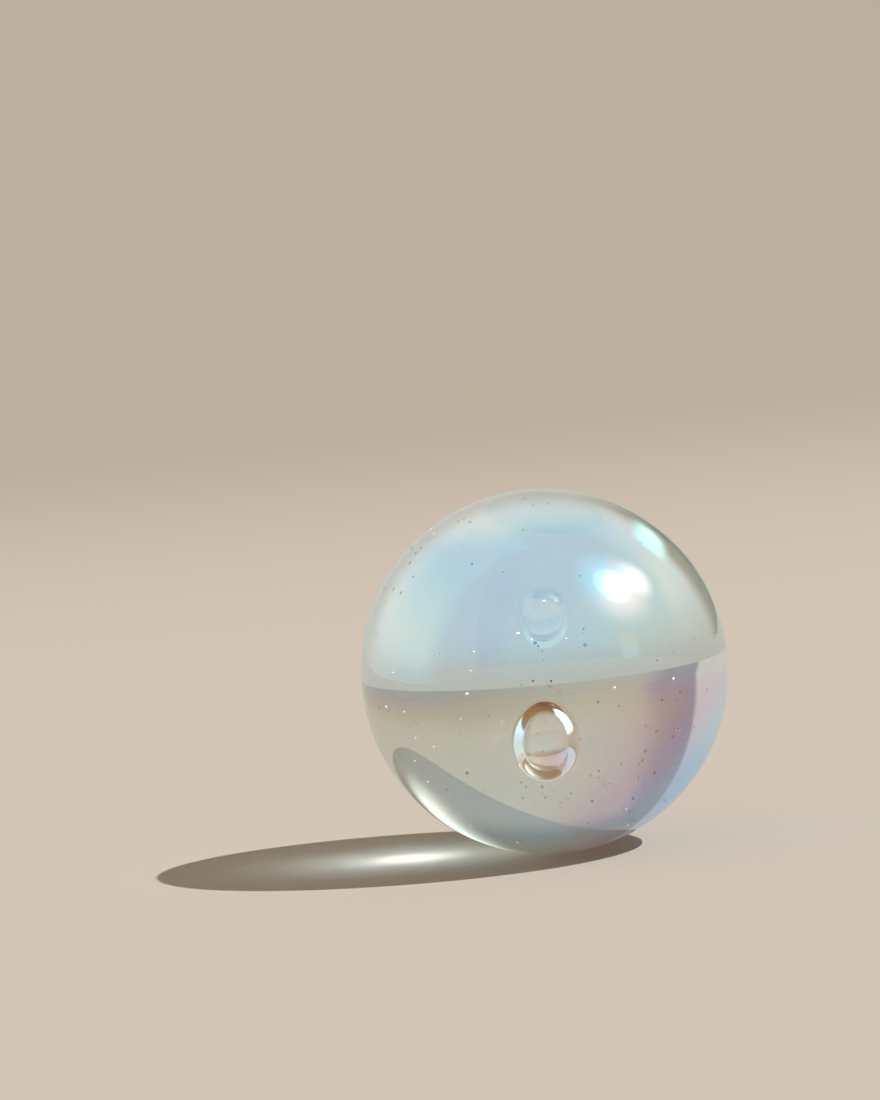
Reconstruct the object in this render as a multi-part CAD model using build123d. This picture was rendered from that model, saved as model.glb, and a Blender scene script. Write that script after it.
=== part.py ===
"""A clear glass marble with one egg-shaped air bubble trapped inside.

The ball was rolled from a single gob of glass, so it is one solid. Rolling left it a little
flatter along its spin axis than across it, and the spin axis came to rest leaning to one side.
The bubble is a closed void within the glass, low down and towards the front of the ball.

Frame: origin at the centre of the ball, +Z up, -Y towards the viewer. Lengths are in millimetres.
"""

import os

from build123d import *

# Ball: a little shorter along its spin axis than across it
equator_diameter = 25.1
spin_axis_diameter = 24.9
spin_axis_lean = 22.0  # degrees from +Z towards +X

# Bubble: an egg with its narrow end up
bubble_diameter = 3.6
bubble_narrow_length = 2.3  # from the widest section to the upper, narrow end
bubble_blunt_length = 2.05  # from the widest section to the lower, blunt end
bubble_lean = 5.0  # degrees from +Z towards +X

# Place of the bubble's widest section, measured from the ball's centre
bubble_offset_left = 0.3
bubble_offset_front = 3.7
bubble_offset_down = 3.4

# How far along its two sides a cubic curve is pulled so that it follows a quarter of an ellipse
round_share = 0.5523


def quarter_arc(radius, length):
    """A quarter of an ellipse, from the widest section out to the end of the spin axis."""
    return Bezier(
        (radius, 0),
        (radius, round_share * length),
        (round_share * radius, length),
        (0, length),
    )


def turned_egg(diameter, upper_length, lower_length):
    """A solid turned about Z from two quarter arcs that meet, smoothly, at its widest section."""
    upper_arc = quarter_arc(diameter / 2, upper_length)
    lower_arc = quarter_arc(diameter / 2, -lower_length)
    spin_axis = Line((0, upper_length), (0, -lower_length))
    half_section = Plane.XZ * make_face([upper_arc, spin_axis, lower_arc])
    return revolve(half_section, axis=Axis.Z)


def make_ball():
    """The whole ball, solid through, with its spin axis leaning as it came to rest."""
    half_length = spin_axis_diameter / 2
    return Rot(Y=spin_axis_lean) * turned_egg(equator_diameter, half_length, half_length)


def make_bubble():
    """The air in the bubble, as the shape that is taken out of the glass."""
    place = Pos(-bubble_offset_left, -bubble_offset_front, -bubble_offset_down)
    egg = turned_egg(bubble_diameter, bubble_narrow_length, bubble_blunt_length)
    return place * Rot(Y=bubble_lean) * egg


marble = make_ball() - make_bubble()

os.makedirs("parts", exist_ok=True)
export_step(marble, "parts/marble.step")
print("marble volume", round(marble.volume, 1), "mm3, size", marble.bounding_box().size)
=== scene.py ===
# %% [markdown]
# # A glass marble with one large bubble
# The ball is a single gob of clear glass, rolled round while it was hot. It holds one egg-shaped
# air bubble and a scatter of fine seed bubbles, and it wears a thin metal-oxide film that turns its
# reflections blue, green, gold and pink. The ball could be modelled from sizes typed in here, but
# then it could drift away from the solid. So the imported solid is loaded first, as a fixed frame, and
# every size below is read from it.

# %% Load the frame
import math
import random

import bmesh
import bpy
import numpy as np
from mathutils import Matrix, Vector


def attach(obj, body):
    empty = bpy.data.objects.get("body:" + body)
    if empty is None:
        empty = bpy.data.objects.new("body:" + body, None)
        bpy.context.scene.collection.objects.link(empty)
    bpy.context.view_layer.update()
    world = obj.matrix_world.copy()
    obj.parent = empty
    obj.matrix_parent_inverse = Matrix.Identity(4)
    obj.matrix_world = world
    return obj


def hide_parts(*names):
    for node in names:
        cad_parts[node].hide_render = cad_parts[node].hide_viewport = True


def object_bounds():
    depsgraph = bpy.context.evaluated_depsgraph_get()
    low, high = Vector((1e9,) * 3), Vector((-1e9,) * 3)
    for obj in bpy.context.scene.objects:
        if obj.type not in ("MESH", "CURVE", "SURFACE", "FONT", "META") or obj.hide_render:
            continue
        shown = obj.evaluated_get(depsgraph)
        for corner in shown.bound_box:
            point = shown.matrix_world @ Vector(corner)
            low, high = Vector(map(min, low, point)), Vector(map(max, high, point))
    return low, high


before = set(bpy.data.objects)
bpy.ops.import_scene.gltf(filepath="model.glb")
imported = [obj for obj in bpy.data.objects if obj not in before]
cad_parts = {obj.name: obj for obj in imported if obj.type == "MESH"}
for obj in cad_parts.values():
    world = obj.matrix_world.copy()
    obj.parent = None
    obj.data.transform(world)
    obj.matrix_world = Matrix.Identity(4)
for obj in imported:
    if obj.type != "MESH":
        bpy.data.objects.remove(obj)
cad_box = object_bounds()
BALL_NODE = "marble"
MM = 0.001


def in_mm(lengths):
    """Lengths in metres as rounded millimetres, for printing."""
    return [round(length / MM, 2) for length in lengths]


print("box in mm:", [in_mm(corner) for corner in cad_box])

# %% [markdown]
# ## Measure the ball
# Rolling left the ball a little flatter along its spin axis than across it, and that axis came to
# rest leaning to the right. A shape could be fitted to all the points of the mesh, but a spheroid
# that leans that way fills its box in only one way, so the box gives its two radii and its lean.

# %% Measure the ball
half = (cad_box[1] - cad_box[0]) / 2
equator_radius = half.y
axis_radius = math.sqrt(half.x**2 + half.z**2 - equator_radius**2)
double_lean = math.acos((half.x**2 - half.z**2) / (equator_radius**2 - axis_radius**2))
ball_lean = double_lean / 2
ball_radius = (2 * equator_radius + axis_radius) / 3
ball_stretch = Matrix.Diagonal((equator_radius, equator_radius, axis_radius))
ball_form = Matrix.Rotation(ball_lean, 3, "Y") @ ball_stretch
print("ball radii in mm:", in_mm([equator_radius, axis_radius]))
print("lean in degrees:", round(math.degrees(ball_lean), 1))

# %% [markdown]
# ## Measure the bubble
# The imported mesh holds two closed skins, the outside of the ball and the wall of the bubble, and
# they are told apart by their distance from the ball's centre. The bubble is an egg turned about an
# axis, so its points spread evenly round that axis. Their spread gives the axis, and the distances
# along it and from it give the widest section and the length of each end.

# %% Measure the bubble
SKIN_SHARE = 0.95

points = np.array([vert.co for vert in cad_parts[BALL_NODE].data.vertices])
wall = points[np.linalg.norm(points, axis=1) < SKIN_SHARE * ball_radius]
wall_middle = (wall.min(0) + wall.max(0)) / 2
spread = np.linalg.eigh(np.cov((wall - wall_middle).T))[1].T
bubble_axis = spread[np.abs(spread[:, 2]).argmax()]
bubble_axis = bubble_axis * np.sign(bubble_axis[2])
along = (wall - wall_middle) @ bubble_axis
across = np.linalg.norm(wall - wall_middle - np.outer(along, bubble_axis), axis=1)
bubble_radius = across.max()
widest = along[across.argmax()]
narrow_length = along.max() - widest
blunt_length = widest - along.min()
bubble_place = Vector(wall_middle + widest * bubble_axis)
bubble_turn = Vector(bubble_axis).to_track_quat("Z", "Y").to_matrix()
print("bubble radius and ends in mm:", in_mm([bubble_radius, narrow_length, blunt_length]))
print("bubble at, in mm:", in_mm(bubble_place))

# %% [markdown]
# ## Camera
# The photograph was taken with a long lens from just above the surface that the ball lies on, with
# the camera rolled a little. A camera could be turned by eye until the picture looks right. Here the
# focal length, the pitch and the roll come from fitting the ball's outline, its shadow and the line
# across it, because then a pixel can also be turned into a place on the ball. The camera stands in
# front, on -Y.

# %% Make the camera
IMAGE_WIDTH_PX, IMAGE_HEIGHT_PX = 880, 1100
FOCAL_PX = 4500
BALL_CENTRE_PX = (544.5, 671.2)
BALL_RADIUS_PX = 183.3
CAMERA_PITCH = math.radians(3.9)
CAMERA_ROLL = math.radians(-5.5)
SENSOR_MM = 36


def sight_of(pixel):
    """The direction from the camera through a pixel, along the camera's right, down and forward."""
    right = (pixel[0] - IMAGE_WIDTH_PX / 2) / FOCAL_PX
    down = (pixel[1] - IMAGE_HEIGHT_PX / 2) / FOCAL_PX
    return Vector((right, down, 1)).normalized()


camera_up = Vector((
    math.sin(CAMERA_ROLL) * math.cos(CAMERA_PITCH),
    -math.cos(CAMERA_ROLL) * math.cos(CAMERA_PITCH),
    -math.sin(CAMERA_PITCH),
))
camera_right = sight_of(BALL_CENTRE_PX).cross(camera_up).normalized()
to_world = Matrix((camera_right, camera_up.cross(camera_right), camera_up))
camera_distance = ball_radius * math.hypot(1, FOCAL_PX / BALL_RADIUS_PX)
camera_place = to_world @ sight_of(BALL_CENTRE_PX) * -camera_distance
camera_turn = to_world @ Matrix.Diagonal((1, -1, -1))

camera_data = bpy.data.cameras.new("camera")
camera_data.sensor_width = SENSOR_MM
camera_data.lens = SENSOR_MM * FOCAL_PX / IMAGE_HEIGHT_PX
camera = bpy.data.objects.new("camera", camera_data)
camera.matrix_world = Matrix.Translation(camera_place) @ camera_turn.to_4x4()
bpy.context.scene.collection.objects.link(camera)
bpy.context.scene.camera = camera
print("camera at, in mm:", in_mm(camera_place), "lens in mm:", round(camera_data.lens))

# %% [markdown]
# ## The glass body
# On the real ball the glass is one clear lump with a hollow in it. A ball of rings and segments
# has two poles, where the facets crowd together and bend the light oddly. A cube whose faces are
# divided and pushed out has no poles, so the glass refracts evenly everywhere. The bubble is the
# same cube-ball drawn out into an egg, with its faces turned inwards: there the glass ends and air
# begins.

# %% Build the ball and the bubble
BALL_CUTS = 80
BUBBLE_CUTS = 28


def cube_ball(cuts):
    """A unit ball of even quads, from a divided cube."""
    ball = bmesh.new()
    bmesh.ops.create_cube(ball, size=2)
    bmesh.ops.subdivide_edges(ball, edges=ball.edges[:], cuts=cuts, use_grid_fill=True)
    for vert in ball.verts:
        vert.co = Vector([math.tan(math.pi / 4 * x) for x in vert.co]).normalized()
    return ball


def add_skin(body, skin, place, inwards=False):
    """Adds one closed skin to the body, with each point moved by the function place."""
    for vert in skin.verts:
        vert.co = place(vert.co)
    if inwards:
        bmesh.ops.reverse_faces(skin, faces=skin.faces[:])
    mesh = bpy.data.meshes.new("skin")
    skin.to_mesh(mesh)
    skin.free()
    body.from_mesh(mesh)
    bpy.data.meshes.remove(mesh)


def place_on_ball(point):
    """A unit ball's point, moved to the outside of the marble."""
    return ball_form @ point


def place_on_bubble(point):
    """A unit ball's point, moved to the wall of the egg."""
    length = narrow_length if point.z > 0 else blunt_length
    reach = Vector((point.x * bubble_radius, point.y * bubble_radius, point.z * length))
    return bubble_place + bubble_turn @ reach


body = bmesh.new()
add_skin(body, cube_ball(BALL_CUTS), place_on_ball)
add_skin(body, cube_ball(BUBBLE_CUTS), place_on_bubble, inwards=True)
print("ball and bubble:", len(body.faces), "faces")

# %% [markdown]
# ## Places on the ball
# The specks of the real ball are known only by the pixels where they show. They could be painted
# on with a texture, but from the side a painted bubble is flat. So each pixel is followed along its
# line of sight to the ball's skin, and from there a little way into the glass, bent as glass bends
# it. What is placed like that shows at its pixel in the photograph's view and is solid in any other.

# %% Find the place of a pixel
GLASS_IOR = 1.5
SEED_DEPTH = 0.5 * MM


def skin_under(pixel):
    """The point of the ball's skin that shows at a pixel, and the line of sight to it."""
    sight = to_world @ sight_of(pixel)
    nearest = -camera_place.dot(sight)
    reach_in = math.sqrt(ball_radius**2 - camera_place.length_squared + nearest**2)
    return camera_place + sight * (nearest - reach_in), sight


def under_pixel(pixel):
    """The point in the glass that shows at a pixel, a little way under the front of the ball."""
    entry, sight = skin_under(pixel)
    normal = entry.normalized()
    cosine = -sight.dot(normal)
    bent_cosine = math.sqrt(1 - (1 - cosine**2) / GLASS_IOR**2)
    bent = (sight + normal * cosine) / GLASS_IOR - normal * bent_cosine
    return entry + bent * SEED_DEPTH


print("skin at the ball's middle pixel, in mm:", in_mm(skin_under(BALL_CENTRE_PX)[0]))

# %% [markdown]
# ## Seed bubbles
# Cheap glass is full of seeds: gas bubbles a tenth of a millimetre wide that never rose out of the
# melt. The ones that show in the photograph are put back where they are seen, and many finer ones
# are scattered through the ball. Bump or a noise texture would be quicker, but a real hollow bends
# the light round its edge as a seed does, and stays a bubble in the mesh itself.

# %% Add the seed bubbles
CLEAR_OF_BUBBLE = 1.3
FINE_SEED_REACH = (0.4, 0.96)
SEED_COUNT = 170
FINE_SEED_MM = (0.02, 0.07)
CHANCE_SEED = 11
BEAD_DIVISIONS = 2
SEEN_SEEDS_MM = {
    0.13: [
        (412, 548), (416, 553), (410, 563), (394, 589), (401, 593),
        (470, 522), (535, 643), (585, 645), (467, 773),
    ],
    0.10: [
        (421, 548), (413, 577), (385, 589), (458, 521), (464, 518),
        (472, 564), (533, 505), (548, 503), (524, 498),
    ],
    0.08: [
        (447, 790), (533, 681), (538, 646), (598, 702), (630, 812),
        (632, 820), (430, 803), (662, 700), (551, 681),
    ],
}


def add_seed(centre, radius):
    """Adds one round gas bubble to the glass."""
    seed = bmesh.new()
    bmesh.ops.create_icosphere(seed, subdivisions=BEAD_DIVISIONS, radius=radius)
    add_skin(body, seed, lambda point: centre + point, inwards=True)


chance = random.Random(CHANCE_SEED)
seeds = []
for size, pixels in SEEN_SEEDS_MM.items():
    seeds += [(under_pixel(pixel), size * MM) for pixel in pixels]
seen_count = len(seeds)
while len(seeds) < SEED_COUNT:
    spot = Vector([chance.uniform(-1, 1) for _ in range(3)])
    from_bubble = (spot * ball_radius - bubble_place).length
    within = FINE_SEED_REACH[0] < spot.length < FINE_SEED_REACH[1]
    if within and from_bubble > CLEAR_OF_BUBBLE * narrow_length:
        seeds.append((spot * ball_radius, chance.uniform(*FINE_SEED_MM) * MM))
for centre, radius in seeds:
    add_seed(centre, radius)
print("seed bubbles:", len(seeds), "of which placed by sight:", seen_count)

# %% [markdown]
# ## The ball as one piece
# Glass, bubble and seeds are one lump on the real ball, so they become one mesh here too. Separate
# objects inside each other would need care with which glass surrounds which air. In one mesh the
# direction of each face says it. The piece stands for the imported solid and rides on its only body.

# %% Make the glass ball
def make_piece(name, shape):
    """A smooth object from a finished shape."""
    mesh = bpy.data.meshes.new(name)
    shape.to_mesh(mesh)
    shape.free()
    mesh.polygons.foreach_set("use_smooth", [True] * len(mesh.polygons))
    piece = bpy.data.objects.new(name, mesh)
    bpy.context.scene.collection.objects.link(piece)
    return piece


glass_ball = make_piece("glass_ball", body)
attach(glass_ball, "root")
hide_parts(BALL_NODE)
print("glass ball:", len(glass_ball.data.polygons), "faces")

# %% [markdown]
# ## Oxide flecks
# Where the sprayed film gathered into a grain, a bright silvery fleck sits in the skin and sparkles.
# A sparkle could be faked with a bright dot in the material, but a tiny metal bead mirrors the light
# by itself, from every side. The beads are half sunk in the glass. The ones that show are put where
# they are seen, and more are scattered over the far side.

# %% Add the oxide flecks
FAR_FLECKS = 40
FAR_FLECK_MM = (0.04, 0.09)
FAR_SIDE = (0.1, 1)
SEEN_FLECKS_MM = {
    0.15: [(518, 634), (544, 602)],
    0.12: [(387, 707), (467, 694), (518, 843), (614, 688)],
    0.10: [(394, 673), (405, 712), (434, 747), (673, 679), (626, 809)],
    0.08: [
        (416, 738), (474, 652), (566, 639), (471, 671), (461, 719),
        (428, 782), (415, 761), (471, 826), (628, 825),
    ],
}


def on_skin(point):
    """The point of the ball's skin nearest to a point, seen from the ball's centre."""
    return ball_form @ (ball_form.inverted() @ point).normalized()


flecks = []
for size, pixels in SEEN_FLECKS_MM.items():
    flecks += [(on_skin(skin_under(pixel)[0]), size * MM) for pixel in pixels]
for _ in range(FAR_FLECKS):
    far_spot = Vector((chance.uniform(-1, 1), chance.uniform(*FAR_SIDE), chance.uniform(-1, 1)))
    flecks.append((on_skin(far_spot), chance.uniform(*FAR_FLECK_MM) * MM))
beads = bmesh.new()
for centre, radius in flecks:
    bead_place = Matrix.Translation(centre)
    bmesh.ops.create_icosphere(beads, subdivisions=BEAD_DIVISIONS, radius=radius, matrix=bead_place)
oxide_flecks = make_piece("oxide_flecks", beads)
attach(oxide_flecks, "root")
print("oxide flecks:", len(flecks))

# %% [markdown]
# ## Helpers for materials
# A material is a small network of nodes. Each node could be written out with its links, but the same
# few kinds come back again and again: a sum, a smooth rise from one value to another, and a blend of
# two colours. A short function for each keeps the recipes below readable.

# %% Define the node helpers
PER_RADIAN = math.degrees(1)


def add_node(tree, kind, **settings):
    """A new node, with the settings given by name."""
    node = tree.nodes.new(kind)
    for name, value in settings.items():
        setattr(node, name, value)
    return node


def feed(tree, socket, value):
    """Links a socket to another, or writes a number or colour on it."""
    if isinstance(value, bpy.types.NodeSocket):
        tree.links.new(value, socket)
    else:
        socket.default_value = value


def maths(tree, operation, first, second=0.0):
    """The result of one sum on two sockets or numbers."""
    node = add_node(tree, "ShaderNodeMath", operation=operation)
    feed(tree, node.inputs[0], first)
    feed(tree, node.inputs[1], second)
    return node.outputs[0]


def times(tree, first, second):
    """The product of two sockets or numbers."""
    return maths(tree, "MULTIPLY", first, second)


def vector_maths(tree, operation, vector):
    """A new node that works on one vector."""
    node = add_node(tree, "ShaderNodeVectorMath", operation=operation)
    feed(tree, node.inputs[0], vector)
    return node


def bearing_of(tree, sidewards, forwards):
    """The bearing in degrees of a direction, from forwards towards sidewards."""
    return times(tree, maths(tree, "ARCTAN2", sidewards, forwards), PER_RADIAN)


def ramp(tree, value, start, end, low=0.0, high=1.0):
    """A smooth rise from low to high as value goes from start to end."""
    node = add_node(tree, "ShaderNodeMapRange", interpolation_type="SMOOTHSTEP")
    feed(tree, node.inputs["Value"], value)
    feed(tree, node.inputs["From Min"], start)
    feed(tree, node.inputs["From Max"], end)
    feed(tree, node.inputs["To Min"], low)
    feed(tree, node.inputs["To Max"], high)
    return node.outputs["Result"]


def fall(tree, value, start, end):
    """A smooth fall from 1 to 0 as value goes from start to end."""
    return ramp(tree, value, start, end, 1.0, 0.0)


def between(tree, value, start, end, soft):
    """1 between start and end, falling softly to 0 outside them."""
    rise = ramp(tree, value, start - soft, start + soft)
    return times(tree, rise, fall(tree, value, end - soft, end + soft))


def blend_colours(tree, share, first, second):
    """The first colour where share is 0 and the second where it is 1."""
    node = add_node(tree, "ShaderNodeMix", data_type="RGBA")
    colours = [socket for socket in node.inputs if socket.type == "RGBA"]
    feed(tree, node.inputs["Factor"], share)
    feed(tree, colours[0], first)
    feed(tree, colours[1], second)
    return [socket for socket in node.outputs if socket.type == "RGBA"][0]


print("degrees in a radian:", round(PER_RADIAN, 2))

# %% [markdown]
# ## The film's place on the ball
# The film was sprayed on one side of the hot ball, so its thickness changes from place to place. An
# unwrapped texture could hold it, but a ball has no natural seam to unwrap along. The recipe works
# from each point's own place instead, in ball radii: how far it lies to the right, how far up, and
# how far from the centre, which tells the skin from the walls of the bubbles.

# %% Start the glass material
glass = bpy.data.materials.new("iridescent_glass")
glass.use_nodes = True
tree = glass.node_tree
shader = tree.nodes["Principled BSDF"]
glass_place = add_node(tree, "ShaderNodeTexCoord").outputs["Object"]
scaled = vector_maths(tree, "SCALE", glass_place)
scaled.inputs["Scale"].default_value = 1 / ball_radius
place = scaled.outputs[0]
ways = add_node(tree, "ShaderNodeSeparateXYZ")
feed(tree, ways.inputs[0], place)
rightwards, _, upwards = ways.outputs
reach = vector_maths(tree, "LENGTH", place).outputs["Value"]
print("glass material:", glass.name, "with places in radii of", in_mm([ball_radius]), "mm")

# %% [markdown]
# ## The film's thickness
# The colours come from a film a tenth of a micrometre thick. Light that comes back from the top and
# from the bottom of the film adds up for some colours and cancels for others, and which ones depends
# on the thickness: near 80 nm it looks gold, near 110 pink, near 145 blue and near 165 green. The
# colours could be painted, but they would not shift with the angle as the real ones do. Blender's
# glass shader works them out from a thickness, so only the thickness is drawn here: thin low on the
# ball, thick at the top and again at the lower right, and a little uneven everywhere.

# %% Draw the film's thickness
LOW_FILM_NM = 78
UPPER_RISE_NM = 64
SIDE_RISE_NM = 18
CORNER_RISE_NM = 66
MOTTLE_NM = 11
MOTTLE_SCALE, MOTTLE_DETAIL = 2.2, 3.0
NOISE_MIDDLE = 0.5
UPPER_STARTS, UPPER_FULL = -0.25, 0.2
SIDE_MIDDLE, SIDE_STARTS, SIDE_FULL = -0.1, 0.25, 0.75
TOP_STARTS, TOP_FULL = 0.7, 0.9
CORNER_RIGHT, CORNER_DOWN = 0.82, 0.58
CORNER_STARTS, CORNER_FULL = 0.35, 1.05
FOOT_RIGHT, FOOT_DOWN = 0.50, 0.87
FOOT_STARTS, FOOT_FULL = 0.45, 0.95
FILM_REACH = 0.97


def towards(right_share, down_share):
    """How far a point lies along a direction to the right and down."""
    right = times(tree, rightwards, right_share)
    return maths(tree, "SUBTRACT", right, times(tree, upwards, down_share))


upper = ramp(tree, upwards, UPPER_STARTS, UPPER_FULL)
lower = maths(tree, "SUBTRACT", 1.0, upper)
sidewards = maths(tree, "ABSOLUTE", maths(tree, "ADD", rightwards, -SIDE_MIDDLE))
side_share = ramp(tree, sidewards, SIDE_STARTS, SIDE_FULL)
rim_share = maths(tree, "MAXIMUM", side_share, ramp(tree, upwards, TOP_STARTS, TOP_FULL))
upper_film = maths(tree, "ADD", times(tree, rim_share, SIDE_RISE_NM), UPPER_RISE_NM)
corner_way = towards(CORNER_RIGHT, CORNER_DOWN)
corner_share = ramp(tree, corner_way, CORNER_STARTS, CORNER_FULL)
foot_share = ramp(tree, towards(FOOT_RIGHT, FOOT_DOWN), FOOT_STARTS, FOOT_FULL)
lower_film = times(tree, maths(tree, "MAXIMUM", corner_share, foot_share), CORNER_RISE_NM)
risen = maths(tree, "ADD", times(tree, upper, upper_film), times(tree, lower, lower_film))
mottle = add_node(tree, "ShaderNodeTexNoise")
feed(tree, mottle.inputs["Vector"], place)
mottle.inputs["Scale"].default_value = MOTTLE_SCALE
mottle.inputs["Detail"].default_value = MOTTLE_DETAIL
uneven = times(tree, maths(tree, "SUBTRACT", mottle.outputs["Fac"], NOISE_MIDDLE), 2 * MOTTLE_NM)
thickness = maths(tree, "ADD", maths(tree, "ADD", risen, uneven), LOW_FILM_NM)
coated = maths(tree, "GREATER_THAN", reach, FILM_REACH)
feed(tree, shader.inputs["Thin Film Thickness"], times(tree, thickness, coated))
thickest_nm = LOW_FILM_NM + UPPER_RISE_NM + SIDE_RISE_NM
print("film in nm, without its mottle: from", LOW_FILM_NM, "to", thickest_nm)

# %% [markdown]
# ## The film's tint
# Light that shines through the lower half of the real ball comes out gold to the left, and pink to
# blue at the lower right. The film's thickness could be changed to get more of that, but the
# reflections would change with it. So the tint of what passes is a colour of its own, blended over
# the ball in the same way as the thickness. The bubble's wall has no film and stays clear. The seeds
# are tinted dark, because they show as dark specks.

# %% Tint the glass
CLEAR_TINT = (0.98, 0.99, 0.99, 1)
GOLD_TINT = (0.97, 0.79, 0.69, 1)
PINK_TINT = (0.92, 0.46, 0.57, 1)
BLUE_TINT = (0.60, 0.68, 0.98, 1)
SEED_TINT = (0.30, 0.34, 0.32, 1)
BUBBLE_TINT = (1, 1, 1, 1)
PINK_STARTS, PINK_FULL = 0.15, 0.7
BLUE_STARTS, BLUE_FULL = 0.76, 0.98

pink_share = times(tree, lower, ramp(tree, corner_way, PINK_STARTS, PINK_FULL))
blue_share = times(tree, lower, ramp(tree, corner_way, BLUE_STARTS, BLUE_FULL))
film_tint = blend_colours(tree, lower, CLEAR_TINT, GOLD_TINT)
film_tint = blend_colours(tree, pink_share, film_tint, PINK_TINT)
film_tint = blend_colours(tree, blue_share, film_tint, BLUE_TINT)
off_bubble = vector_maths(tree, "DISTANCE", place)
off_bubble.inputs[1].default_value = bubble_place / ball_radius
bubble_reach = CLEAR_OF_BUBBLE * narrow_length / ball_radius
is_seed = maths(tree, "GREATER_THAN", off_bubble.outputs["Value"], bubble_reach)
inner_tint = blend_colours(tree, is_seed, BUBBLE_TINT, SEED_TINT)
feed(tree, shader.inputs["Base Color"], blend_colours(tree, coated, inner_tint, film_tint))
print("tints: clear above, gold below, then pink and blue;", len(tree.nodes), "nodes")

# %% [markdown]
# ## The glass itself
# The glass is fire-polished, so its skin has no roughness at all. Seen through its full width it is
# faintly aqua, from traces of iron. A tint on the skin would colour a thin edge as much as the thick
# middle, so the aqua is a volume that takes a little red out of the light for each millimetre.

# %% Finish the glass
FILM_IOR = 2.4
AQUA = (0.62, 0.88, 0.86, 1)
AQUA_DENSITY = 25

shader.inputs["Roughness"].default_value = 0.0
shader.inputs["IOR"].default_value = GLASS_IOR
shader.inputs["Transmission Weight"].default_value = 1.0
shader.inputs["Thin Film IOR"].default_value = FILM_IOR
aqua = add_node(tree, "ShaderNodeVolumeAbsorption")
aqua.inputs["Color"].default_value = AQUA
aqua.inputs["Density"].default_value = AQUA_DENSITY
feed(tree, tree.nodes["Material Output"].inputs["Volume"], aqua.outputs[0])
glass_ball.data.materials.append(glass)
print("glass of index", GLASS_IOR, "under a film of index", FILM_IOR)

# %% [markdown]
# ## The flecks' metal
# A grain of the oxide is a soft silver, here cooler and there warmer. One plain grey would make all
# the sparkles alike, so a fine noise blends the two silvers from bead to bead. The metal is a little
# rough, so that each bead catches the sun in a spot wide enough to see.

# %% Finish the flecks
COOL_SILVER = (0.86, 0.95, 1.0, 1)
WARM_SILVER = (1.0, 0.97, 0.93, 1)
FLECK_ROUGHNESS = 0.25

silver = bpy.data.materials.new("oxide_silver")
silver.use_nodes = True
tree = silver.node_tree
fleck_shader = tree.nodes["Principled BSDF"]
fleck_shader.inputs["Metallic"].default_value = 1.0
fleck_shader.inputs["Roughness"].default_value = FLECK_ROUGHNESS
grain = add_node(tree, "ShaderNodeTexNoise")
grain.inputs["Scale"].default_value = 1 / MM
feed(tree, grain.inputs["Vector"], add_node(tree, "ShaderNodeTexCoord").outputs["Object"])
fleck_colour = blend_colours(tree, grain.outputs["Fac"], COOL_SILVER, WARM_SILVER)
feed(tree, fleck_shader.inputs["Base Color"], fleck_colour)
oxide_flecks.data.materials.append(silver)
print("fleck material:", silver.name)

# %% [markdown]
# ## Floor
# The ball lies on a wide plain floor of matt paint. Far behind the ball the floor turns softly to
# the tan of the backdrop, as it does out of focus in the photograph. A lens blur could do that, but
# it would blur other views too, so the paint itself fades with the distance.

# %% Make the floor
FLOOR_REACH = 2.0
FLOOR_COLOUR = (0.645, 0.570, 0.504, 1)
FAR_FLOOR_COLOUR = (0.500, 0.434, 0.367, 1)
FADE_STARTS, FADE_FULL = 0.12, 0.75

floor_height = cad_box[0].z
floor_mesh = bpy.data.meshes.new("floor")
floor_signs = [(-1, -1), (1, -1), (1, 1), (-1, 1)]
floor_corners = [(x * FLOOR_REACH, y * FLOOR_REACH, floor_height) for x, y in floor_signs]
floor_mesh.from_pydata(floor_corners, [], [(0, 1, 2, 3)])
floor = bpy.data.objects.new("floor", floor_mesh)
bpy.context.scene.collection.objects.link(floor)
floor_paint = bpy.data.materials.new("floor_paint")
floor_paint.use_nodes = True
floor_mesh.materials.append(floor_paint)
tree = floor_paint.node_tree
floor_shader = tree.nodes["Principled BSDF"]
floor_shader.inputs["Roughness"].default_value = 1.0
floor_shader.inputs["Specular IOR Level"].default_value = 0.0
floor_place = add_node(tree, "ShaderNodeTexCoord").outputs["Object"]
floor_ways = add_node(tree, "ShaderNodeSeparateXYZ")
feed(tree, floor_ways.inputs[0], floor_place)
floor_right, floor_back, _ = floor_ways.outputs
fade = ramp(tree, floor_back, FADE_STARTS, FADE_FULL)
floor_colour = blend_colours(tree, fade, FLOOR_COLOUR, FAR_FLOOR_COLOUR)
print("floor at height", in_mm([floor_height]), "mm, reaching", FLOOR_REACH, "m each way")

# %% [markdown]
# ## The floor's far edge in the glass
# The ball shows the whole floor in small, upside down, with a crisp line where it ends. Beyond that
# line is the foot of the backdrop. Its bearings run from a pale panel through a mauve strip to light
# and then dark cloth. More objects could be modelled, but they would show beside the ball as well.
# Only rays that the glass has bent or mirrored need to see the edge, and the light path tells them
# apart. The bubble gathers light from all sides, so floor seen through it is painted paler.

# %% Give the floor its edge
EDGE_STARTS, EDGE_FULL = 0.232, 0.242
BEHIND_STARTS, BEHIND_FULL = -0.02, 0.02
HORIZON_COLOUR = (0.58, 0.58, 0.57, 1)
DARK_BACKDROP_COLOUR = (0.37, 0.29, 0.22, 1)
LIGHT_BACKDROP_COLOUR = (0.54, 0.43, 0.30, 1)
STRIP_FOOT_COLOUR = (0.33, 0.20, 0.21, 1)
PANEL_COLOUR = (0.80, 0.84, 0.84, 1)
BUBBLE_FLOOR_COLOUR = (1.0, 1.0, 1.0, 1)
DARK_STARTS, DARK_FULL = -14, 20
STRIP_FULL, STRIP_ENDS = -29, -19
PANEL_FULL, PANEL_ENDS = -43.5, -40.5
PAST_BUBBLE = 3.5
HALF_A_BOUNCE = 0.5


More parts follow.
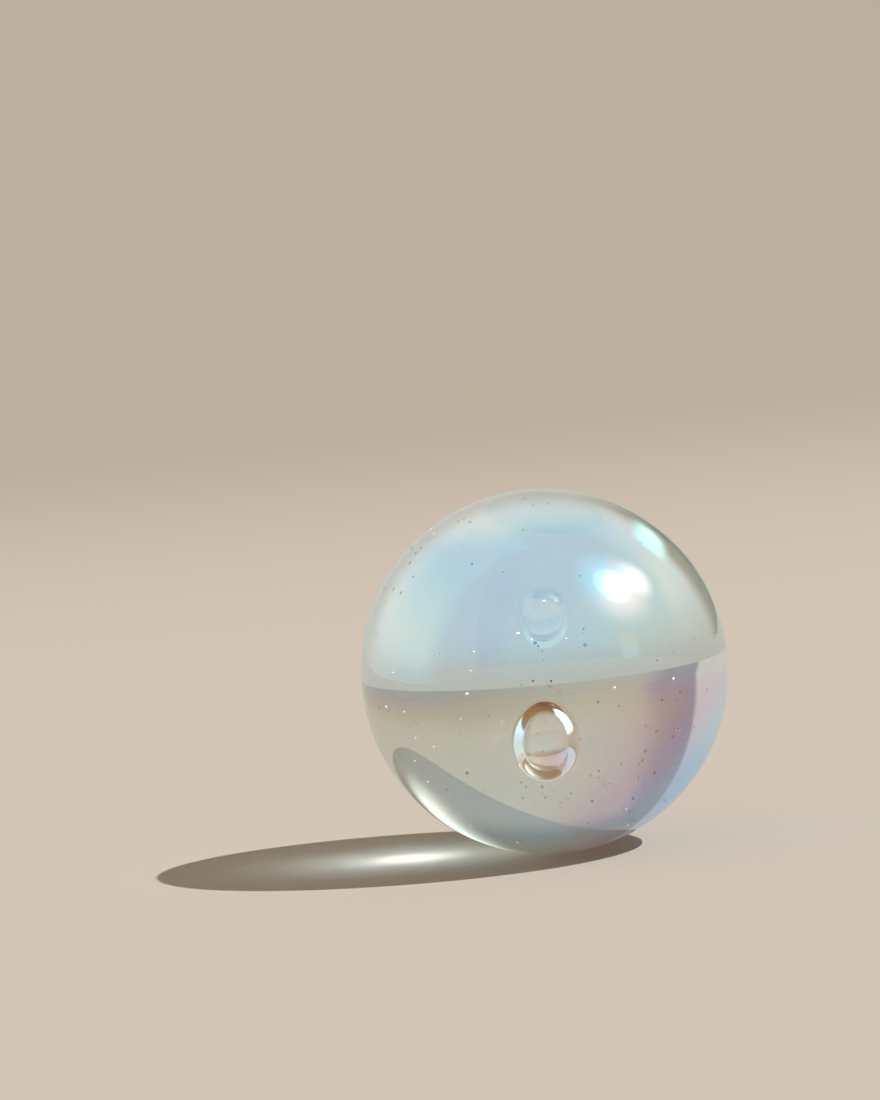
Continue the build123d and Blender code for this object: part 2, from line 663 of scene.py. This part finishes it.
def backdrop_foot(tree, bearing):
    """The foot of the backdrop: a pale panel, a strip, then light and dark cloth."""
    dark_share = ramp(tree, bearing, DARK_STARTS, DARK_FULL)
    foot = blend_colours(tree, dark_share, LIGHT_BACKDROP_COLOUR, DARK_BACKDROP_COLOUR)
    foot = blend_colours(tree, fall(tree, bearing, STRIP_FULL, STRIP_ENDS), foot, STRIP_FOOT_COLOUR)
    return blend_colours(tree, fall(tree, bearing, PANEL_FULL, PANEL_ENDS), foot, PANEL_COLOUR)


rays = add_node(tree, "ShaderNodeLightPath").outputs
away = vector_maths(tree, "LENGTH", floor_place).outputs["Value"]
past_edge = ramp(tree, away, EDGE_STARTS, EDGE_FULL)
past_edge = times(tree, past_edge, rays["Is Glossy Ray"])
at_back = ramp(tree, floor_back, BEHIND_STARTS, BEHIND_FULL)
behind = times(tree, rays["Is Transmission Ray"], at_back)
foot_colour = backdrop_foot(tree, bearing_of(tree, floor_right, floor_back))
past_colour = blend_colours(tree, behind, HORIZON_COLOUR, foot_colour)
floor_colour = blend_colours(tree, past_edge, floor_colour, past_colour)
in_bubble = maths(tree, "GREATER_THAN", rays["Transmission Depth"], PAST_BUBBLE)
in_ring = maths(tree, "GREATER_THAN", times(tree, behind, rays["Glossy Depth"]), HALF_A_BOUNCE)
by_bubble = maths(tree, "MAXIMUM", in_bubble, in_ring)
floor_colour = blend_colours(tree, by_bubble, floor_colour, BUBBLE_FLOOR_COLOUR)
feed(tree, floor_shader.inputs["Base Color"], floor_colour)
print("floor edge, seen in the glass only, in mm:", in_mm([EDGE_STARTS, EDGE_FULL]))

# %% [markdown]
# ## The bright patch in the shadow
# The ball works as a burning glass: it gathers the sun into a small bright patch in the middle of
# its own shadow. Tracing that light would take far longer than all the rest, so the patch is painted
# as a soft glow where a glass ball focuses. In the ball's own lower skin the patch is mirrored
# flat and stretched, so rays mirrored there see a painted glow of their own, wider, stronger and
# greener.

# %% Paint the glow
SUN_DIRECTION = Vector((0.657, -0.226, 0.719))
FOCUS_SHARE = 0.92
CORE_SHARES, CORE_STRENGTH = (0.5, 0.36), 0.64
HALO_SHARES, HALO_STRENGTH = (1.0, 0.5), 0.08
HALO_SHIFT_SHARE = 0.25
MIRRORED_SHARES, MIRRORED_STRENGTH = (0.85, 0.6), 1.9
GLOW_COLOUR = (1.0, 0.91, 0.80, 1)
MIRRORED_GLOW_COLOUR = (0.86, 1.0, 0.98, 1)

focus = SUN_DIRECTION * (FOCUS_SHARE * floor_height / SUN_DIRECTION.z)
shadow_way = Vector((-SUN_DIRECTION.x, -SUN_DIRECTION.y, 0)).normalized()
shadow_turn = math.atan2(shadow_way.y, shadow_way.x)


def glow(centre, shares):
    """A soft patch on the floor, 1 at its centre, as long and wide as the shares of the radius."""
    mapping = add_node(tree, "ShaderNodeMapping", vector_type="TEXTURE")
    mapping.inputs["Location"].default_value = centre
    mapping.inputs["Rotation"].default_value = (0, 0, shadow_turn)
    mapping.inputs["Scale"].default_value = (shares[0] * ball_radius, shares[1] * ball_radius, 1)
    feed(tree, mapping.inputs["Vector"], floor_place)
    flat = vector_maths(tree, "MULTIPLY", mapping.outputs[0])
    flat.inputs[1].default_value = (1, 1, 0)
    distance = vector_maths(tree, "LENGTH", flat.outputs[0]).outputs["Value"]
    return fall(tree, distance, 0.0, 1.0)


core = glow(focus, CORE_SHARES)
core = times(tree, times(tree, core, core), CORE_STRENGTH)
halo_centre = focus + shadow_way * HALO_SHIFT_SHARE * ball_radius
halo = times(tree, glow(halo_centre, HALO_SHARES), HALO_STRENGTH)
seen_glow = maths(tree, "ADD", core, halo)
# painted reflection of the patch: a wider, stronger glow that only mirrored rays see
mirrored_glow = times(tree, glow(focus, MIRRORED_SHARES), MIRRORED_STRENGTH)
in_glass = rays["Is Glossy Ray"]
glow_strength = ramp(tree, in_glass, 0.0, 1.0, seen_glow, mirrored_glow)
glow_colour = blend_colours(tree, in_glass, GLOW_COLOUR, MIRRORED_GLOW_COLOUR)
feed(tree, floor_shader.inputs["Emission Strength"], glow_strength)
feed(tree, floor_shader.inputs["Emission Color"], glow_colour)
print("sun gathered at, in mm:", in_mm(focus))

# %% [markdown]
# ## Sun
# One sun, half-way up on the right, gives the crisp shadow. A large lamp would blur its edge, so the
# sun keeps its true width of half a degree. Its strength was set by the floor's brightness.

# %% Make the sun
SUN_STRENGTH = 2.84
SUN_WIDTH = math.radians(0.53)
SUN_COLOUR = (1.0, 1.03, 1.05)

sun_data = bpy.data.lights.new("sun", "SUN")
sun_data.energy = SUN_STRENGTH
sun_data.angle = SUN_WIDTH
sun_data.color = SUN_COLOUR
sun = bpy.data.objects.new("sun", sun_data)
sun.rotation_euler = SUN_DIRECTION.to_track_quat("Z", "Y").to_euler()
bpy.context.scene.collection.objects.link(sun)
print("sun", round(math.degrees(math.asin(SUN_DIRECTION.z))), "degrees above the floor")

# %% [markdown]
# ## Directions in the surroundings
# Clear glass has little colour of its own: nearly all that it shows is its surroundings. A picture of
# real ones could stand round the ball, but a few soft patches of colour say the same and can be moved
# one by one. Each patch is placed by the bearing and height of the direction looked in. A bearing of
# 0 is straight behind the ball, and positive ones are to the right.

# %% Start the surroundings
world = bpy.data.worlds.new("surroundings")
world.use_nodes = True
bpy.context.scene.world = world
tree = world.node_tree
looking = add_node(tree, "ShaderNodeTexCoord").outputs["Generated"]
look_ways = add_node(tree, "ShaderNodeSeparateXYZ")
feed(tree, look_ways.inputs[0], looking)
look_right, backwards, height = look_ways.outputs
bearing = bearing_of(tree, look_right, backwards)
clock = bearing_of(tree, look_right, height)


def patch(direction, full, edge):
    """1 within so many degrees of a direction, falling softly to 0 at the edge."""
    cosine = vector_maths(tree, "DOT_PRODUCT", looking)
    cosine.inputs[1].default_value = direction
    angle = times(tree, maths(tree, "ARCCOSINE", cosine.outputs["Value"]), PER_RADIAN)
    return fall(tree, angle, full, edge)


print("surroundings:", world.name)

# %% [markdown]
# ## Dome
# The upper half of the ball mirrors a wide dome of light: blue in front, paler and warmer to the
# sides, and grey low down and behind. One blue all over would make the film's colours too even. The
# pale parts are brighter than white, because a film sends back only a small part of what it gets.

# %% Draw the dome
DOME_COLOUR = (0.78, 1.04, 1.15, 1)
PALE_COLOUR = (1.75, 1.28, 1.28, 1)
BACK_COLOUR = (0.66, 0.66, 0.60, 1)
FRONT_DIRECTION = Vector((0.15, -0.9, 0.4)).normalized()
FRONT_FULL, FRONT_ENDS = 76, 92
HAZE_FULL, HAZE_ENDS = 0.0, 0.5
PALE_BEARINGS, PALE_SOFT = (-105, -30), 12
PALE_LOW, PALE_HIGH, PALE_LOW_SHARE = 0.0, 0.3, 0.35
BACK_STARTS, BACK_FULL = 0.6, 0.95

dome = blend_colours(tree, patch(FRONT_DIRECTION, FRONT_FULL, FRONT_ENDS), PALE_COLOUR, DOME_COLOUR)
dome = blend_colours(tree, fall(tree, height, HAZE_FULL, HAZE_ENDS), dome, HORIZON_COLOUR)
pale_rise = ramp(tree, height, PALE_LOW, PALE_HIGH, PALE_LOW_SHARE, 1.0)
pale_side = times(tree, between(tree, bearing, *PALE_BEARINGS, PALE_SOFT), pale_rise)
dome = blend_colours(tree, pale_side, dome, PALE_COLOUR)
dome = blend_colours(tree, ramp(tree, backwards, BACK_STARTS, BACK_FULL), dome, BACK_COLOUR)
print("dome:", len(tree.nodes), "nodes so far")

# %% [markdown]
# ## What the skin mirrors
# Over the dome, the skin mirrors a dark green card at the right, a narrow bright slit, a bright gap
# and the glare of the sun. The sun lamp alone would give a hard dot, because the skin is so smooth.
# On the real ball the glare is soft and has two lobes, so it is drawn as two round patches with a
# halo. They are redder than white, because the film there sends back less red than blue.

# %% Draw what is mirrored
SHADE_COLOUR = (0.03, 0.09, 0.06, 1)
SHADE_BEARINGS, SHADE_SOFT = (12, 40), 9
SHADE_LOW, SHADE_HIGH = 0.3, 0.55
SLIT_COLOUR = (1.25, 0.98, 0.96, 1)
SLIT_BEARINGS, SLIT_SOFT = (117, 129), 1.5
SLIT_HEIGHTS, SLIT_HEIGHT_SOFT = (0.115, 0.38), 0.02
GAP_COLOUR = (2.4, 3.6, 3.4, 1)
GAP_CLOCK, GAP_CLOCK_SOFT = (43, 53), 5
GAP_DEPTHS, GAP_DEPTH_SOFT = (0.6, 0.86), 0.08
HALO_COLOUR = (8.0, 2.3, 2.3, 1)
HALO_FULL, HALO_EDGE = 2, 26
GLARE_COLOUR = (24.0, 8.0, 6.5, 1)
GLARE_FULL, GLARE_EDGE = 2, 12
SECOND_GLARE_COLOUR = (8.0, 3.4, 3.4, 1)
SECOND_GLARE_DIRECTION = Vector((0.757, 0.042, 0.653)).normalized()
SECOND_GLARE_FULL, SECOND_GLARE_EDGE = 0, 13

shade_share = between(tree, bearing, *SHADE_BEARINGS, SHADE_SOFT)
shade_share = times(tree, shade_share, fall(tree, height, SHADE_LOW, SHADE_HIGH))
slit = between(tree, bearing, *SLIT_BEARINGS, SLIT_SOFT)
slit = times(tree, slit, between(tree, height, *SLIT_HEIGHTS, SLIT_HEIGHT_SOFT))
gap = between(tree, clock, *GAP_CLOCK, GAP_CLOCK_SOFT)
gap = times(tree, gap, between(tree, backwards, *GAP_DEPTHS, GAP_DEPTH_SOFT))
second_glare = patch(SECOND_GLARE_DIRECTION, SECOND_GLARE_FULL, SECOND_GLARE_EDGE)
mirrored = blend_colours(tree, shade_share, dome, SHADE_COLOUR)
mirrored = blend_colours(tree, slit, mirrored, SLIT_COLOUR)
mirrored = blend_colours(tree, gap, mirrored, GAP_COLOUR)
mirrored = blend_colours(tree, patch(SUN_DIRECTION, HALO_FULL, HALO_EDGE), mirrored, HALO_COLOUR)
mirrored = blend_colours(tree, second_glare, mirrored, SECOND_GLARE_COLOUR)
mirrored = blend_colours(tree, patch(SUN_DIRECTION, GLARE_FULL, GLARE_EDGE), mirrored, GLARE_COLOUR)
print("mirrored:", len(tree.nodes), "nodes so far")

# %% [markdown]
# ## What shows through the ball
# Through the ball everything stands on its head: the backdrop fills the lower half, with its dark
# strip, its pale panel and a dim card overhead, at the very bottom. It could be a lit board behind
# the ball, but then it would show beside the ball as well. As part of the surroundings it is seen
# only by light that has passed through the glass.

# %% Draw what shows through
BACKDROP_COLOUR = (0.497, 0.423, 0.342, 1)
FOOT_LOW, FOOT_HIGH = 0.0, 0.16
STRIP_COLOUR = (0.25, 0.20, 0.16, 1)
STRIP_BEARINGS, STRIP_SOFT = (-60, -24), 5
STRIP_LOW, STRIP_HIGH = 0.0, 0.2
OVERHEAD_COLOUR = (0.15, 0.105, 0.04, 1)
OVERHEAD_STARTS, OVERHEAD_FULL = 0.55, 0.75
HIGH_PANEL_COLOUR = (0.45, 0.55, 0.82, 1)
PANEL_LOW, PANEL_HIGH = 0.15, 0.65
BACKDROP_ENDS, DOME_FULL = 85, 110
SUN_FULL, SUN_EDGE = 1, 4

backdrop_rise = ramp(tree, height, FOOT_LOW, FOOT_HIGH)
through = blend_colours(tree, backdrop_rise, backdrop_foot(tree, bearing), BACKDROP_COLOUR)
strip = blend_colours(tree, ramp(tree, height, STRIP_LOW, STRIP_HIGH), STRIP_FOOT_COLOUR, STRIP_COLOUR)
through = blend_colours(tree, between(tree, bearing, *STRIP_BEARINGS, STRIP_SOFT), through, strip)
through = blend_colours(tree, ramp(tree, height, OVERHEAD_STARTS, OVERHEAD_FULL), through, OVERHEAD_COLOUR)
panel = blend_colours(tree, ramp(tree, height, PANEL_LOW, PANEL_HIGH), PANEL_COLOUR, HIGH_PANEL_COLOUR)
through = blend_colours(tree, fall(tree, bearing, PANEL_FULL, PANEL_ENDS), through, panel)
turned_away = maths(tree, "ABSOLUTE", bearing)
through = blend_colours(tree, ramp(tree, turned_away, BACKDROP_ENDS, DOME_FULL), through, dome)
through = blend_colours(tree, patch(SUN_DIRECTION, SUN_FULL, SUN_EDGE), through, GLARE_COLOUR)
print("seen through:", len(tree.nodes), "nodes so far")

# %% [markdown]
# ## What the bubble's ring shows
# Near its outline the bubble's wall mirrors all the light that meets it, from inside the glass. So
# the real bubble has a bright ring, white to the left and right and brown at the top. Those rays have
# been reflected just once inside the ball. They could share the patches above, but those leave the
# sides too dark, so the ring gets a bright card on each side and a dark one overhead.

# %% Draw what the ring shows
RING_LEFT_COLOUR = (1.0, 1.45, 1.6, 1)
RING_LEFT_BEARINGS, RING_SOFT = (-84, -33), 4
RING_LEFT_LOW, RING_LEFT_HIGH = 0.52, 0.6
RING_RIGHT_COLOUR = (2.2, 2.6, 2.8, 1)
RING_RIGHT_BEARINGS = (44, 84)
RING_RIGHT_HEIGHTS, RING_HEIGHT_SOFT = (0.32, 0.85), 0.05
RING_OVERHEAD_COLOUR = (0.045, 0.055, 0.025, 1)
RING_OVERHEAD_STARTS, RING_OVERHEAD_FULL = 0.5, 0.62

ring_overhead = ramp(tree, height, RING_OVERHEAD_STARTS, RING_OVERHEAD_FULL)
ring_left = between(tree, bearing, *RING_LEFT_BEARINGS, RING_SOFT)
ring_left = times(tree, ring_left, fall(tree, height, RING_LEFT_LOW, RING_LEFT_HIGH))
ring_right = between(tree, bearing, *RING_RIGHT_BEARINGS, RING_SOFT)
ring_right = times(tree, ring_right, between(tree, height, *RING_RIGHT_HEIGHTS, RING_HEIGHT_SOFT))
ring = blend_colours(tree, ring_overhead, through, RING_OVERHEAD_COLOUR)
ring = blend_colours(tree, ring_left, ring, RING_LEFT_COLOUR)
ring = blend_colours(tree, ring_right, ring, RING_RIGHT_COLOUR)
print("ring:", len(tree.nodes), "nodes so far")

# %% [markdown]
# ## Which light sees what
# A plain warm light from all round fills the shadow: that is what the floor gets. The camera sees the
# tan backdrop. Mirrored rays see the dome and the glare, rays through the ball see the backdrop, and
# rays off the bubble's wall see the ring's cards. Lamps and boards could be hidden from some rays one
# by one, but the light path sorts all of them in one place.

# %% Sort the rays
FILL_COLOUR = (0.36, 0.315, 0.25, 1)
VEIL_SHARE = 0.2
RING_REFLECTIONS = 1.0

rays = add_node(tree, "ShaderNodeLightPath").outputs
in_bubble = maths(tree, "GREATER_THAN", rays["Transmission Depth"], PAST_BUBBLE)
through = blend_colours(tree, times(tree, in_bubble, VEIL_SHARE), through, DOME_COLOUR)
off_one = maths(tree, "ABSOLUTE", maths(tree, "SUBTRACT", rays["Glossy Depth"], RING_REFLECTIONS))
through = blend_colours(tree, maths(tree, "LESS_THAN", off_one, HALF_A_BOUNCE), through, ring)
seen = blend_colours(tree, rays["Is Transmission Ray"], mirrored, through)
seen = blend_colours(tree, rays["Is Camera Ray"], seen, BACKDROP_COLOUR)
by_glass = maths(tree, "MAXIMUM", rays["Is Glossy Ray"], rays["Is Transmission Ray"])
by_eye = maths(tree, "MAXIMUM", rays["Is Camera Ray"], by_glass)
by_eye = times(tree, by_eye, maths(tree, "LESS_THAN", rays["Diffuse Depth"], HALF_A_BOUNCE))
surroundings = blend_colours(tree, by_eye, FILL_COLOUR, seen)
feed(tree, tree.nodes["Background"].inputs["Color"], surroundings)
print("surroundings:", len(tree.nodes), "nodes in all")

# %% [markdown]
# ## Render settings
# Light bounces many times inside the ball and round the bubble before it gets out. With Blender's
# default number of bounces the rim and the bubble's ring turn black, so the glass gets more. The
# colours are shown plainly, by the Standard view.

# %% Set what the glass needs
ALL_BOUNCES = 32
MIRROR_BOUNCES = 24

scene = bpy.context.scene
scene.view_settings.view_transform = "Standard"
scene.cycles.use_denoising = True
scene.cycles.max_bounces = ALL_BOUNCES
scene.cycles.glossy_bounces = MIRROR_BOUNCES
scene.cycles.transmission_bounces = ALL_BOUNCES
print("bounces:", ALL_BOUNCES, "of which mirrored:", MIRROR_BOUNCES)
